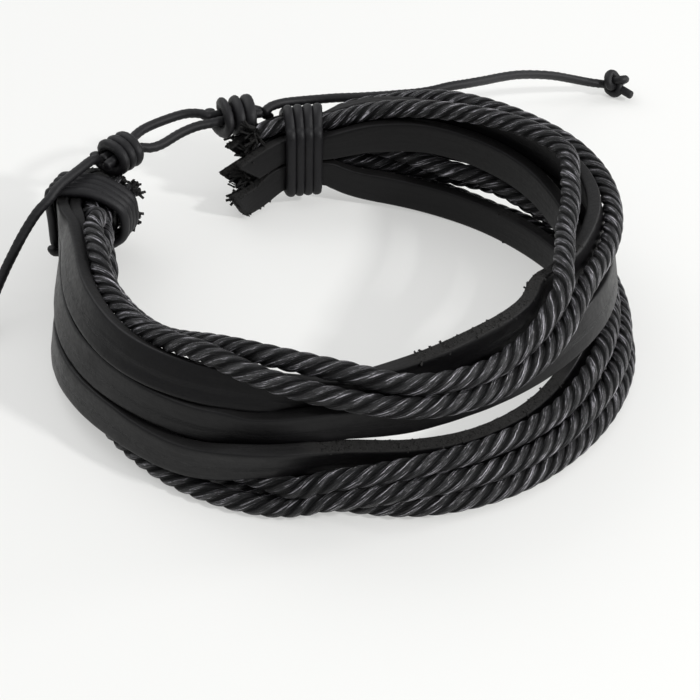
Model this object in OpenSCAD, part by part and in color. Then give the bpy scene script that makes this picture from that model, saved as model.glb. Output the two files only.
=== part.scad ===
// Layered bracelet: flat leather strips and laid ropes gathered at two cord bindings.
// Two thin cords bridge the gap between the bindings and slide through two wrapped knots.
// The bracelet stands on its lower edge, as if just taken off, +Z up, wrist axis along Z.

/* [Strands] */
// Width of each leather strip
strip_w = 3.9; // [3.5:0.1:4]
// Thickness of each leather strip
strip_t = 1.7; // [1.3:0.1:1.8]
// Diameter of each laid rope
rope_d = 2.3; // [1.8:0.1:2.4]
// Size that the strands keep where the bindings squeeze them, as a share
squeeze = 0.84; // [0.74:0.02:0.86]

/* [Thin cord] */
// Diameter of the two sliding cords
cord_d = 1.3; // [1:0.1:1.4]
// Diameter of the cord wrapped in the bindings
wrap_d = 1.1; // [0.9:0.05:1.2]
// Turns of cord in each binding
binding_turns = 4; // [3:1:4]
// Turns of cord in each sliding knot
knot_turns = 3; // [2:1:3]
// Diameter of the knots that stop the cord ends
end_knot_d = 4.2; // [3.6:0.2:4.6]

/* [Hidden] */

// Place of the wrist axis in the row's frame, so that the ring and its knots sit centred
axis_at = [1, -2.2, 0];

// Columns of every strand table
// angle: degrees round the wrist, from +X through +Y, counted on past 360
// out: distance of the strand's middle from the wrist axis
// high: height of its middle above the surface
// lean: turn of a strip about its own line, plus tips its top edge inwards
ANGLE = 0;
OUT = 1;
HIGH = 2;
LEAN = 3;

strip_upper_rows = [
    [143.5, 38.5, 7.9, 0], [147.5, 39.05, 8.8, 0], [156.5, 37.5, 9, 0], [162.5, 35.4, 10, 6],
    [169, 33, 10.4, 18], [182, 31, 11.6, 28], [200, 30.3, 12.42, 30], [220, 30.1, 12.66, 30],
    [240, 29.5, 13.2, 28], [255, 29.1, 13.9, 18], [270, 28.2, 13.7, 0], [285, 27.8, 15.15, -6],
    [300, 27.6, 16.35, -4], [318, 26.9, 16.25, 4], [327, 25.9, 16.3, 8], [336, 26.3, 15.6, 12],
    [354, 28.35, 14.6, 14], [375, 31.4, 14.5, 12], [400, 32.9, 13.9, 5], [425, 33, 13.3, 0],
    [441, 34.1, 12.1, 0], [449, 34.4, 10.9, 0], [454, 34.65, 9.6, 0], [464, 34.65, 9.6, 0],
    [474, 33.8, 7.6, 0]];
strip_middle_rows = [
    [143.5, 38.5, 3.8, 0], [147.5, 39.05, 5.3, 0], [156.5, 37.5, 5.5, 0], [162.5, 35.75, 6.2, 4],
    [169, 34.1, 6.6, 10], [182, 32.6, 7.2, 18], [200, 31.8, 7.8, 18], [220, 31.3, 8.8, 14],
    [240, 30.9, 9.3, 4], [247.5, 30.8, 9.85, 0], [255, 30.7, 10.1, -6], [270, 30.3, 11.72, -10],
    [285, 29.45, 11.3, -5], [300, 29.1, 11.4, 0], [318, 29.3, 11.6, 20], [336, 30.1, 11.3, 20],
    [354, 31.2, 10.3, 14], [375, 32.8, 9.8, 5], [400, 34.3, 9.2, 0], [425, 34.9, 8.5, 0],
    [441, 35.4, 7.2, 0], [454, 34.6, 5.8, 0], [464, 34.6, 5.8, 0], [476, 33.8, 3.7, 0]];
strip_lower_rows = [
    [143.5, 36.8, 3.8, 0], [147.5, 37.35, 5.25, 0], [156.5, 35.8, 5.6, 0], [163, 33.9, 3.3, 0],
    [166, 33.85, 2.35, 3], [169, 33.7, 2.3, 5], [182, 33.5, 2.6, 10], [200, 33.15, 3.7, 12],
    [220, 32.5, 4.6, 10], [240, 32.4, 5, 0], [255, 32.4, 7.2, -15], [270, 30.3, 7.15, -20],
    [285, 29.8, 5.8, -15], [300, 29.9, 5, -8], [318, 29.6, 4.5, 0], [336, 29.4, 5.2, 2],
    [354, 29.8, 6.1, 8], [375, 30.3, 7.4, 0], [400, 30.9, 10.4, 0], [425, 31, 11.3, 0],
    [441, 30.8, 10.4, 0], [454, 30.95, 8.6, 0], [464, 30.95, 8.6, 0], [474, 30.1, 6.8, 0]];
strip_inner_rows = [
    [143.5, 36.8, 7.9, 0], [147.5, 37.35, 8.8, 0], [156.5, 35.8, 9, 0], [162, 33.55, 9, 0],
    [169, 31.3, 7.55, 0], [182, 29.7, 6.8, 0], [200, 28.6, 5.7, 0], [220, 28.3, 4.9, 0],
    [240, 27.9, 4.35, 0], [255, 27.8, 3.1, 0], [270, 28.5, 2.05, 0], [285, 31.05, 2.05, 0],
    [300, 31.6, 2.05, 0], [318, 31.4, 2.05, 0], [336, 31.4, 2.05, 0], [354, 31.2, 2.05, 0],
    [375, 31, 2.05, 0], [400, 30.5, 2.05, 0], [425, 30.5, 2.3, 0], [441, 30.7, 2.8, 0],
    [447, 30.8, 3.3, 0], [451, 30.9, 4.1, 0], [454, 30.95, 4.65, 0], [464, 30.95, 4.65, 0],
    [472, 30.3, 2.6, 0], [477.5, 29.4, 2.3, 0]];
rope_top_rows = [
    [143.5, 34.9, 9.1], [147.5, 35.5, 9.2], [156.5, 33.75, 9.5], [162, 30.9, 11.3], [169, 30, 12.4],
    [182, 28.1, 13.5], [200, 27.3, 13.2], [220, 27.35, 14.2], [240, 28.4, 16.5], [255, 30.4, 16.8],
    [270, 31.3, 15.6], [285, 31.8, 13.9], [300, 31.3, 13], [312, 31.2, 13.9], [320, 30.7, 14.6],
    [328, 30, 15.3], [336, 29.5, 15.4], [345, 29.8, 15.3], [354, 30.7, 14.7], [375, 33.55, 14.6],
    [387, 34.8, 14.8], [400, 35.3, 15], [425, 35.1, 15], [441, 36.2, 12.4], [449, 36.4, 11],
    [454, 36.45, 8.9], [464, 36.4, 8.9], [471, 36, 8]];
rope_second_rows = [
    [143.5, 32.5, 9.2], [147.5, 33.8, 8.1], [156.5, 32.05, 8.35], [162, 30.3, 9.1],
    [169, 28.9, 10.2], [182, 28, 11], [200, 26.1, 11.1], [220, 25.4, 12.5], [240, 26.1, 15.9],
    [255, 27.7, 17.6], [270, 29, 17.4], [285, 30.6, 16], [300, 30.7, 15.5], [309, 30.1, 15.8],
    [314, 29.9, 16.3], [318, 29.6, 17], [327, 28.8, 18.4], [336, 27, 18.85], [354, 25.9, 17.6],
    [375, 28.3, 17.2], [387, 31, 17.3], [400, 31.5, 17], [425, 30.9, 15.6], [441, 31.7, 13.8],
    [454, 32.8, 11.2], [464, 32.8, 11.2], [470, 32.3, 10.9]];
rope_third_rows = [
    [143.5, 34.9, 5.95], [147.5, 35.6, 7], [156.5, 33.9, 7.3], [162, 32.5, 5.75], [169, 31.4, 4.3],
    [182, 30.7, 3.65], [200, 30.6, 3.65], [220, 30.4, 3.6], [240, 30.2, 3.7], [255, 31.2, 3.8],
    [262, 32.5, 4.3], [270, 32.8, 6], [285, 32.7, 6.8], [300, 32.4, 6.5], [318, 32.3, 6.2],
    [336, 31.9, 6.4], [354, 32, 5.9], [375, 32.5, 6.1], [400, 32, 6.4], [412, 31.4, 7.2],
    [425, 31.1, 7.1], [441, 32.7, 7.7], [454, 32.75, 8.8], [464, 32.75, 8.8], [471, 32.2, 7.8]];
rope_fourth_rows = [
    [143.5, 34.85, 3.6], [147.5, 35.5, 4.8], [156.5, 33.9, 5.1], [162, 31.9, 2.6], [169, 31.6, 1.6],
    [182, 31.1, 1.2], [200, 31.1, 1.2], [220, 31.6, 1.25], [240, 32.4, 1.25], [255, 32.6, 1.3],
    [262, 32.6, 1.85], [270, 33, 3.4], [285, 33.4, 4.4], [300, 33.6, 4.15], [318, 33.6, 3.9],
    [336, 33.6, 4.1], [354, 33.6, 3.7], [375, 33.8, 3.8], [400, 33.9, 4.2], [412, 33.8, 4.85],
    [425, 33.4, 4.65], [441, 33.2, 5.1], [454, 32.8, 6.5], [464, 32.8, 6.5], [473, 32.1, 5.3]];
rope_bottom_rows = [
    [143.5, 32.9, 4.8], [147.5, 33.75, 5.85], [156.5, 32.1, 6], [162, 30.15, 3.65],
    [169, 29.3, 2.1], [182, 28.4, 1.9], [200, 28.4, 1.2], [220, 28.9, 1.2], [240, 29.3, 1.2],
    [255, 29.95, 1.2], [270, 30.7, 1.2], [285, 33.25, 1.75], [300, 34.2, 1.7], [318, 34.2, 1.5],
    [336, 34.3, 1.6], [354, 34.1, 1.3], [375, 33.2, 1.3], [400, 32.7, 2.2], [412, 32.6, 1.9],
    [425, 32.6, 2.45], [441, 32.9, 2.75], [454, 32.8, 4.2], [464, 32.8, 4.2], [474, 32.1, 2.9]];

// Where the bindings start and stop, in degrees round the wrist
left_bound = [148.5, 156.5];
right_bound = [454.5, 463.5];
// Degrees past a binding over which the strands swell back to full size
swell = 14;

// Rings swept between two rows of a table
ring_steps = 2;

// Hermite blend of four neighbouring rows
function blend(a, b, c, d, t) =
    ((2 * b) + (c - a) * t + (2 * a - 5 * b + 4 * c - d) * t * t + (3 * b - a - 3 * c + d) * t * t * t) / 2;

function row_at(rows, i) = rows[max(0, min(len(rows) - 1, i))];

function along(rows) = [
    for (i = [0 : len(rows) - 2], s = [0 : ring_steps - 1])
        blend(row_at(rows, i - 1), rows[i], rows[i + 1], row_at(rows, i + 2), s / ring_steps),
    rows[len(rows) - 1]];

function place(row) = [row[OUT] * cos(row[ANGLE]), row[OUT] * sin(row[ANGLE]), row[HIGH]];

function unit(v) = v / norm(v);

// Share of full size that a strand has at an angle
function share(angle) =
    let (past = min(angle - left_bound[1], right_bound[0] - angle))
    squeeze + (1 - squeeze) * max(0, min(1, past / swell));

// Outline of a strip across its line, with eased corners
strip_ease = 0.35;
function strip_outline() =
    let (w = strip_w / 2, t = strip_t / 2, e = strip_ease)
    [[w - e, t], [w, t - e], [w, -t + e], [w - e, -t], [-w + e, -t], [-w, -t + e], [-w, t - e], [-w + e, t]];

// Outline of a rope or cord
round_sides = 8;
function round_outline(d) =
    [for (k = [0 : round_sides - 1]) d / 2 * [cos(360 * k / round_sides), -sin(360 * k / round_sides)]];

// Sweep an outline along rings of [middle, width axis, thickness axis, share]
module sweep(rings, outline) {
    n = len(outline);
    m = len(rings);
    points = [for (r = rings, p = outline) r[0] + r[3] * (r[1] * p[0] + r[2] * p[1])];
    sides = [for (i = [0 : m - 2], k = [0 : n - 1])
        let (a = i * n + k, b = i * n + (k + 1) % n)
        each [[a, b, b + n], [a, b + n, a + n]]];
    ends = [[for (k = [n - 1 : -1 : 0]) k], [for (k = [0 : n - 1]) (m - 1) * n + k]];
    translate(axis_at) polyhedron(points, concat(sides, ends), convexity = 10);
}

// Axes across a line of spots, as [width axis, thickness axis]
function across(spots, i) =
    let (last = len(spots) - 1,
         ahead = unit(spots[min(i + 1, last)] - spots[max(i - 1, 0)]),
         side = unit(cross(ahead, [0, 0, 1])))
    [cross(side, ahead), side];

// Rings of a strand, its width axis turned by the lean of each row
function strand_rings(rows) =
    let (path = along(rows), spots = [for (r = path) place(r)])
    [for (i = [0 : len(path) - 1])
        let (axes = across(spots, i), tip = len(path[i]) > LEAN ? path[i][LEAN] : 0)
        [spots[i], cos(tip) * axes[0] - sin(tip) * axes[1], cos(tip) * axes[1] + sin(tip) * axes[0],
         share(path[i][ANGLE])]];

module strip(rows) color("#1d1c1d") sweep(strand_rings(rows), strip_outline());
module rope(rows) color("#232326") sweep(strand_rings(rows), round_outline(rope_d));

// A cord laid straight through its spots
module cord(spots) color("#1a1a1b")
    sweep([for (i = [0 : len(spots) - 1]) concat([spots[i]], across(spots, i), [1])], round_outline(cord_d));

// Coils, wound round a heart that runs from one row to another
// loop: one turn as [out, high] from the heart, offered once round
// skew: degrees round the wrist by which a turn trails for each mm outwards
function coil_spots(from, to, loop, turns, skew) =
    let (n = len(loop), all = n * turns)
    [for (k = [0 : all])
        let (heart = from + (to - from) * k / all, p = loop[k % n])
        place([heart[ANGLE] + skew * p[0], heart[OUT] + p[0], heart[HIGH] + p[1]])];

// Each ring of a coil faces along the wound line, its width axis kept along the heart
module coil(from, to, loop, turns, d, skew = 0) color("#19191b") {
    spots = coil_spots(from, to, loop, turns, skew);
    last = len(spots) - 1;
    heart = unit(place(to) - place(from));
    sweep([for (i = [0 : last])
        let (ahead = unit(spots[min(i + 1, last)] - spots[max(i - 1, 0)]),
             out = unit(cross(ahead, heart)))
        [spots[i], cross(out, ahead), out, 1]], round_outline(d));
}

// One turn round the left bundle, round the right bundle and round two cords, as [out, high]
left_loop = [[3.85, -3.5], [3.85, 0], [3.85, 3.5], [3.2, 4.3], [1.2, 4.3], [-0.9, 4.1], [-3, 3.2],
             [-4.6, 1.6], [-4.6, -1.6], [-3, -3.2], [-0.9, -4], [1.2, -4.2], [3.2, -4.2]];
right_loop = [[2.5, -3.7], [4.1, -0.2], [4.6, 1.5], [4.3, 2.9], [2.4, 4.3], [0.2, 5.7], [-1.4, 5.7],
              [-3, 4.4], [-3.95, 3.5], [-3.95, -0.6], [-3.95, -4.1], [-3.1, -4.95], [-0.1, -4.8]];
function knot_loop(wide, tall) = [for (t = [0 : 36 : 324]) [wide * cos(t), tall * sin(t)]];

// Slant of the left binding's turns, in degrees round the wrist for each mm outwards
left_skew = 0.7;

// Hearts of the bindings and knots, as strand rows
left_heart = [[left_bound[0], 36.3, 7.0], [left_bound[1], 35.1, 7.3]];
right_heart = [[right_bound[0], 33.5, 7.3], [right_bound[1], 33.5, 7.3]];
left_knot_heart = [[137.6, 36.5, 12.1], [143.8, 36.5, 12.1]];
right_knot_heart = [[109.4, 35.9, 12.05], [117, 35.9, 12.05]];

// Bridge cords, as strand rows from the right binding to the left one
outer_bridge_rows = [
    [104.9, 36.9, 10.3], [106.6, 36.8, 11.2], [108.6, 36.65, 12], [113, 36.65, 12.1], [118, 37, 12.2],
    [119.5, 37.8, 12.4], [122, 38.7, 12.4], [126, 39.1, 12.2], [131, 39, 12.1], [134.5, 38.2, 12.1],
    [136.5, 37.3, 12.1], [140, 37.2, 12.1], [144, 37.2, 12.1]];
inner_bridge_rows = [
    [107.6, 35.2, 12.1], [113, 35.15, 12.1], [117, 35.2, 12.1], [119, 35.4, 12], [122, 35.6, 12],
    [126, 35.4, 11.9], [131, 35, 11.6], [134, 35.1, 11.7], [136.5, 35.75, 12.05], [141, 35.8, 12.1],
    [144, 35.8, 12.1], [145.4, 35.8, 12]];

// Free ends, as [x, y, high] from the wrist axis
left_tail_spots = [
    [-30.8, 21.3, 12.4], [-31.5, 20, 12.8], [-32.4, 17.9, 13], [-33.5, 15.9, 13], [-34.7, 14, 12.7],
    [-35.7, 12.5, 11.9], [-37, 11.4, 10.9], [-38.1, 10.5, 9.6], [-39.1, 9.6, 8.2], [-40, 8.6, 6.8],
    [-40.9, 7.3, 5.4], [-41.7, 5.6, 4.1], [-42.4, 3.6, 2.9], [-43, 1.4, 1.9], [-43.5, -1, 1.2],
    [-43.9, -3.5, 0.8], [-44.2, -6, 0.8], [-44.4, -8.2, 1.4]];
right_tail_spots = [
    [-10.1, 33.8, 12.2], [-9.2, 35.4, 12.1], [-7.6, 37.1, 11.7], [-5.3, 38, 11.5], [-3, 38.4, 11.5],
    [-0.7, 38.4, 11.7], [1.7, 38.2, 11.9], [4, 37.9, 12.2], [6, 37.6, 12.5], [7.9, 37.2, 12.9],
    [9.9, 36.8, 13.3], [12, 36.9, 13.6], [14.5, 38.1, 13.6], [17, 40.2, 12.9], [19.6, 43.3, 11.7],
    [22, 46.6, 10.4], [24.6, 49.9, 9], [27.5, 53.2, 7.3], [30.6, 56.2, 5.5], [33.6, 58.6, 3.7],
    [36.4, 60, 2.4], [38, 60.3, 2]];
left_end_knot_at = [-44.6, -10.3, 2.1];
right_end_knot_at = [40.3, 60.2, 2.1];

module end_knot(at) color("#19191b") translate(axis_at + at) sphere(d = end_knot_d, $fn = 20);

module strip_upper() strip(strip_upper_rows);
module strip_middle() strip(strip_middle_rows);
module strip_lower() strip(strip_lower_rows);
module strip_inner() strip(strip_inner_rows);
module rope_top() rope(rope_top_rows);
module rope_second() rope(rope_second_rows);
module rope_third() rope(rope_third_rows);
module rope_fourth() rope(rope_fourth_rows);
module rope_bottom() rope(rope_bottom_rows);
module left_binding() coil(left_heart[0], left_heart[1], left_loop, binding_turns, wrap_d, left_skew);
module right_binding() coil(right_heart[0], right_heart[1], right_loop, binding_turns, wrap_d);
module left_knot() coil(left_knot_heart[0], left_knot_heart[1], knot_loop(2.25, 1.55), knot_turns, cord_d);
module right_knot() coil(right_knot_heart[0], right_knot_heart[1], knot_loop(2.45, 1.65), knot_turns, cord_d);
module outer_bridge_cord() cord([for (r = along(outer_bridge_rows)) place(r)]);
module inner_bridge_cord() cord([for (r = along(inner_bridge_rows)) place(r)]);
module left_tail() cord(along(left_tail_spots));
module right_tail() cord(along(right_tail_spots));
module left_end_knot() end_knot(left_end_knot_at);
module right_end_knot() end_knot(right_end_knot_at);

strip_upper();
strip_middle();
strip_lower();
strip_inner();
rope_top();
rope_second();
rope_third();
rope_fourth();
rope_bottom();
left_binding();
right_binding();
left_knot();
right_knot();
outer_bridge_cord();
inner_bridge_cord();
left_tail();
right_tail();
left_end_knot();
right_end_knot();
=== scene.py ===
"""A layered bracelet of leather strips and laid ropes, as its maker puts it together."""
import bpy
import math
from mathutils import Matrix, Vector, noise


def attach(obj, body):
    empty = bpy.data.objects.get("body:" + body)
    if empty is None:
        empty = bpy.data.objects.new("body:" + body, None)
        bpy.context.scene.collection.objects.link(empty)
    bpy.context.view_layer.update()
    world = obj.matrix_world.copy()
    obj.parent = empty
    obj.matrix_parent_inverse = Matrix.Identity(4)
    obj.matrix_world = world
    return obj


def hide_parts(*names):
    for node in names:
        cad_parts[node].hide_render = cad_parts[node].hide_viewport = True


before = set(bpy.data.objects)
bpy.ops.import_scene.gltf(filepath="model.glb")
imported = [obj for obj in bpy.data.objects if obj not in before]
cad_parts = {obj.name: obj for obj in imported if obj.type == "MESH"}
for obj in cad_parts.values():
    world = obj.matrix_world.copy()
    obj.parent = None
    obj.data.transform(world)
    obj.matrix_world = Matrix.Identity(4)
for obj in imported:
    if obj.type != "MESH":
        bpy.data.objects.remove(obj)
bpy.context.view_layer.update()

# The view: a long lens on the bracelet as it stands on a pale floor, its strands towards the
# lens and its ties behind. Sizes in this file are millimetres, made metres by MM.
MM = 0.001
camera = bpy.data.objects.new("camera", bpy.data.cameras.new("camera"))
bpy.context.collection.objects.link(camera)
bpy.context.scene.camera = camera
camera.data.sensor_width = 36
camera.data.lens = 90.8
camera.data.clip_start = 0.01
camera.rotation_euler = (math.radians(53), 0, 0)
camera.location = Vector((2.2, -173.8, 127.5)) * MM
bpy.context.scene.view_settings.view_transform = "Standard"

# Free ends of the two sliding cords: limp waxed cotton, 1.3 mm thick, laid in three fine plies.
# Each leaves a sliding knot, drops to the floor and ends in a tight overhand knot with a
# cut end. Routes are x, y and height from the wrist axis.
AXIS_AT = Vector((1, -2.2, 0))
CORD_D = 1.3
CORD_LAY = 2.6
CORD_PLIES = 3
CORD_SIDES = 14
ROUTE_STEPS = 8
left_tail_spots = [
    (-30.8, 21.3, 12.4), (-31.5, 20, 12.8), (-32.4, 17.9, 13), (-33.5, 15.9, 13), (-34.7, 14, 12.7),
    (-35.7, 12.5, 11.9), (-37, 11.4, 10.9), (-38.1, 10.5, 9.6), (-39.1, 9.6, 8.2), (-40, 8.6, 6.8),
    (-40.9, 7.3, 5.4), (-41.7, 5.6, 4.1), (-42.4, 3.6, 2.9), (-43, 1.4, 1.9), (-43.5, -1, 1.2),
    (-43.9, -3.5, 0.8), (-44.2, -6, 0.8), (-44.4, -8.2, 1.4)]
right_tail_spots = [
    (-10.1, 33.8, 12.2), (-9.2, 35.4, 12.1), (-7.6, 37.1, 11.7), (-5.3, 38, 11.5), (-3, 38.4, 11.5),
    (-0.7, 38.4, 11.7), (1.7, 38.2, 11.9), (4, 37.9, 12.2), (6, 37.6, 12.5), (7.9, 37.2, 12.9),
    (9.9, 36.8, 13.3), (12, 36.9, 13.6), (14.5, 38.1, 13.6), (17, 40.2, 12.9), (19.6, 43.3, 11.7),
    (22, 46.6, 10.4), (24.6, 49.9, 9), (27.5, 53.2, 7.3), (30.6, 56.2, 5.5), (33.6, 58.6, 3.7),
    (36.4, 60, 2.4), (38, 60.3, 2)]
left_end_knot_at = (-44.6, -10.3, 2.1)
right_end_knot_at = (40.3, 60.2, 2.1)


def between(a, b, c, d, t):
    """Smooth blend of four neighbouring rows, from b to c."""
    return [(2 * q + (r - p) * t + (2 * p - 5 * q + 4 * r - s) * t * t
             + (3 * q - p - 3 * r + s) * t ** 3) / 2
            for p, q, r, s in zip(a, b, c, d)]


def along(rows, steps):
    """Rows of a table with smooth rows between them."""
    last = len(rows) - 1
    path = [between(rows[max(i - 1, 0)], rows[i], rows[i + 1], rows[min(i + 2, last)], k / steps)
            for i in range(last) for k in range(steps)]
    return path + [list(rows[last])]


def lengths(points):
    """Distance along a line of points at each of them."""
    run = [0.0]
    for a, b in zip(points, points[1:]):
        run.append(run[-1] + (b - a).length)
    return run


def frames(points, up):
    """Ahead, side and rise at each point, turned as little as possible from one to the next."""
    last = len(points) - 1
    found = []
    rise = up
    for i in range(last + 1):
        ahead = (points[min(i + 1, last)] - points[max(i - 1, 0)]).normalized()
        side = ahead.cross(rise).normalized()
        rise = side.cross(ahead)
        found.append((ahead, side, rise))
    return found


def finished(name, corners, faces, smooth=True):
    """A mesh object from millimetre corners."""
    mesh = bpy.data.meshes.new(name)
    mesh.from_pydata([Vector(c) * MM for c in corners], [], faces)
    mesh.update()
    if smooth:
        mesh.polygons.foreach_set("use_smooth", [True] * len(mesh.polygons))
    made = bpy.data.objects.new(name, mesh)
    bpy.context.collection.objects.link(made)
    return made


# Rings past each end of a cord that round it off: distance in diameters, share of its thickness.
ROUNDED_END = ((0.12, 0.9), (0.2, 0.6))

# How far the plies of a cord stand out, loose and where it is wound tight, as shares of its radius.
LOOSE_RELIEF = 0.045
TIGHT_RELIEF = 0.03


def cord_tube(name, points, diameter, relief=LOOSE_RELIEF, up=Vector((0, 0, 1)), spread=1):
    """A laid cord along the points, pressed wider along up by spread."""
    run = lengths(points)
    corners, turns, faces = [], [], []
    rings = list(zip(points, frames(points, up), run, [1.0] * len(points)))
    first, final = rings[0], rings[-1]
    for back, share in ROUNDED_END:
        rings.insert(0, (first[0] - first[1][0] * back * diameter, first[1], first[2], share))
        rings.append((final[0] + final[1][0] * back * diameter, final[1], final[2], share))
    for spot, (ahead, side, rise), far, share in rings:
        for k in range(CORD_SIDES):
            angle = 2 * math.pi * k / CORD_SIDES
            spun = angle + 2 * math.pi * far / CORD_LAY
            ply = 1 + relief * math.cos(CORD_PLIES * spun)
            radius = diameter / 2 * ply * share / (1 + relief)
            corners.append(spot + radius * (math.cos(angle) * side + spread * math.sin(angle) * rise))
            turns.append((math.cos(spun), math.sin(spun), far))
    for i in range(len(rings) - 1):
        here, after = i * CORD_SIDES, (i + 1) * CORD_SIDES
        for k in range(CORD_SIDES):
            j = (k + 1) % CORD_SIDES
            faces.append((here + k, after + k, after + j, here + j))
    for start, order in ((0, 1), ((len(rings) - 1) * CORD_SIDES, -1)):
        faces.append([start + k for k in range(CORD_SIDES)][::order])
    made = finished(name, corners, faces)
    fibre = made.data.attributes.new("fibre", "FLOAT_VECTOR", "POINT")
    for i, turn in enumerate(turns):
        fibre.data[i].vector = turn
    return made


def ink(code):
    """Linear colour of an sRGB hex value."""
    parts = [int(code[i:i + 2], 16) / 255 for i in (1, 3, 5)]
    return [p / 12.92 if p <= 0.04045 else ((p + 0.055) / 1.055) ** 2.4 for p in parts] + [1]


def add(tree, kind, inputs=None, **settings):
    """A node with its settings, its sockets set or linked."""
    node = tree.nodes.new(kind)
    for key, value in settings.items():
        setattr(node, key, value)
    for socket, value in (inputs or {}).items():
        if isinstance(value, bpy.types.NodeSocket):
            tree.links.new(value, node.inputs[socket])
        else:
            node.inputs[socket].default_value = value
    return node


def new_material(name):
    """An empty material with its tree and shader."""
    made = bpy.data.materials.new(name)
    made.use_nodes = True
    tree = made.node_tree
    return made, tree, tree.nodes["Principled BSDF"]


def waxed_cotton():
    """Spun cotton drawn through black wax: fine fibres along each ply, a dull shine on top."""
    made, tree, shader = new_material("waxed_cotton_cord")
    shader.inputs["Specular IOR Level"].default_value = 0.3
    fibre = add(tree, "ShaderNodeAttribute", attribute_name="fibre").outputs["Vector"]
    drawn = add(tree, "ShaderNodeVectorMath", {0: fibre, 1: (1, 1, 0.25)}, operation="MULTIPLY").outputs[0]
    yarn = add(tree, "ShaderNodeTexNoise", {
        "Vector": drawn, "Scale": 4.5, "Detail": 5, "Roughness": 0.6}).outputs[0]
    tone = add(tree, "ShaderNodeValToRGB", {0: yarn})
    tone.color_ramp.elements[0].position = 0.3
    tone.color_ramp.elements[0].color = ink("#070708")
    tone.color_ramp.elements[1].position = 0.75
    tone.color_ramp.elements[1].color = ink("#171619")
    tree.links.new(tone.outputs["Color"], shader.inputs["Base Color"])
    gloss = add(tree, "ShaderNodeMapRange", {
        "Value": yarn, "To Min": 0.4, "To Max": 0.65}).outputs["Result"]
    tree.links.new(gloss, shader.inputs["Roughness"])
    relief = add(tree, "ShaderNodeBump", {"Height": yarn, "Strength": 0.6, "Distance": 0.06 * MM})
    tree.links.new(relief.outputs["Normal"], shader.inputs["Normal"])
    return made


cord_finish = waxed_cotton()


# An end knot follows a trefoil, this many millimetres to its unit, and pulls its cord a little
# thinner. A few steps lead the cord into it, and its cut end goes on past it in these steps.
KNOT_UNIT = 0.52
KNOT_STEPS = 69
PULLED_THIN = 0.97
LEAD_STEPS = 4
CUT_END = (0.5, 1.1, 1.7, 2.3)


def overhand_knot(name, start, at, come_from, cut_towards):
    """A tight overhand knot tied in the end of a cord, from the start that the cord gives it."""
    spots = []
    for k in range(KNOT_STEPS):
        t = 2 * math.pi * (k + 2) / KNOT_STEPS
        across = math.sin(t) + 2 * math.sin(2 * t)
        along_it = math.cos(t) - 2 * math.cos(2 * t)
        spots.append(Vector((across, along_it, -1.5 * math.sin(3 * t))) * KNOT_UNIT)
    ahead = Vector(come_from).normalized()
    side = ahead.cross(Vector((0, 0, 1))).normalized()
    rise = side.cross(ahead)
    turned = [Vector(at) + AXIS_AT + ahead * p.x + side * p.z + rise * p.y for p in spots]
    out = Vector(cut_towards)
    turned += [turned[-1] + out * far for far in CUT_END]
    lowest = min(p.z for p in turned) - CORD_D / 2
    turned = [p - Vector((0, 0, min(lowest, 0))) for p in turned]
    lead = [start + (turned[0] - start) * k / LEAD_STEPS for k in range(LEAD_STEPS)]
    return cord_tube(name, lead + turned, CORD_D * PULLED_THIN, up=Vector((0.3, 0.2, 1)))


for name, spots, knot_at, cut in (
        ("left_tail", left_tail_spots, left_end_knot_at, (-0.5, -0.8, -0.1)),
        ("right_tail", right_tail_spots, right_end_knot_at, (0.9, -0.9, -0.2))):
    route = [Vector(p) + AXIS_AT for p in along(spots, ROUTE_STEPS)]
    heading = Vector(spots[-1]) - Vector(spots[-2])
    knot_name = name.replace("tail", "end_knot")
    end_knot = overhand_knot(knot_name + "_tied", route[-1], knot_at, heading, cut)
    tail = cord_tube(name + "_cord", route, CORD_D)
    for piece, node in ((tail, name), (end_knot, knot_name)):
        piece.data.materials.append(cord_finish)
        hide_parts(node)
        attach(piece, "root")

# The two cords between the bindings, and the wrapped knot that each one ends in round the
# other: the same waxed cotton. Rows are degrees round the wrist, distance from the wrist
# axis and height above the floor.
ANGLE, OUT, HIGH, LEAN = 0, 1, 2, 3
outer_bridge_rows = [
    (104.9, 36.9, 10.3), (106.6, 36.8, 11.2), (108.6, 36.65, 12), (113, 36.65, 12.1), (118, 37, 12.2),
    (119.5, 37.8, 12.4), (122, 38.7, 12.4), (126, 39.1, 12.2), (131, 39, 12.1), (134.5, 38.2, 12.1),
    (136.5, 37.3, 12.1), (140, 37.2, 12.1), (144, 37.2, 12.1)]
inner_bridge_rows = [
    (107.6, 35.2, 12.1), (113, 35.15, 12.1), (117, 35.2, 12.1), (119, 35.4, 12), (122, 35.6, 12),
    (126, 35.4, 11.9), (131, 35, 11.6), (134, 35.1, 11.7), (136.5, 35.75, 12.05), (141, 35.8, 12.1),
    (144, 35.8, 12.1), (145.4, 35.8, 12)]
left_knot_heart = [(137.6, 36.5, 12.1), (143.8, 36.5, 12.1)]
right_knot_heart = [(109.4, 35.9, 12.05), (117, 35.9, 12.05)]
KNOT_TURNS = 3
WOUND_STEPS = 5


def place(row):
    """Millimetre point of a row."""
    around = math.radians(row[ANGLE])
    return Vector((row[OUT] * math.cos(around), row[OUT] * math.sin(around), row[HIGH])) + AXIS_AT


def wound(name, heart, loop, turns, diameter, spread, skew=0):
    """Cord wound round a heart that runs from one row to another, one loop a turn."""
    count = len(loop)
    total = count * turns
    rows = []
    for k in range(-1, total + 2):
        start, end = heart
        share = k / total
        middle = [a + (b - a) * share for a, b in zip(start, end)]
        out, high = loop[k % count]
        rows.append((middle[ANGLE] + skew * out, middle[OUT] + out, middle[HIGH] + high))
    path = along(rows, WOUND_STEPS)[WOUND_STEPS:-WOUND_STEPS]
    across = (place(heart[1]) - place(heart[0])).normalized()
    return cord_tube(name, [place(r) for r in path], diameter, TIGHT_RELIEF, across, spread)


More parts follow.
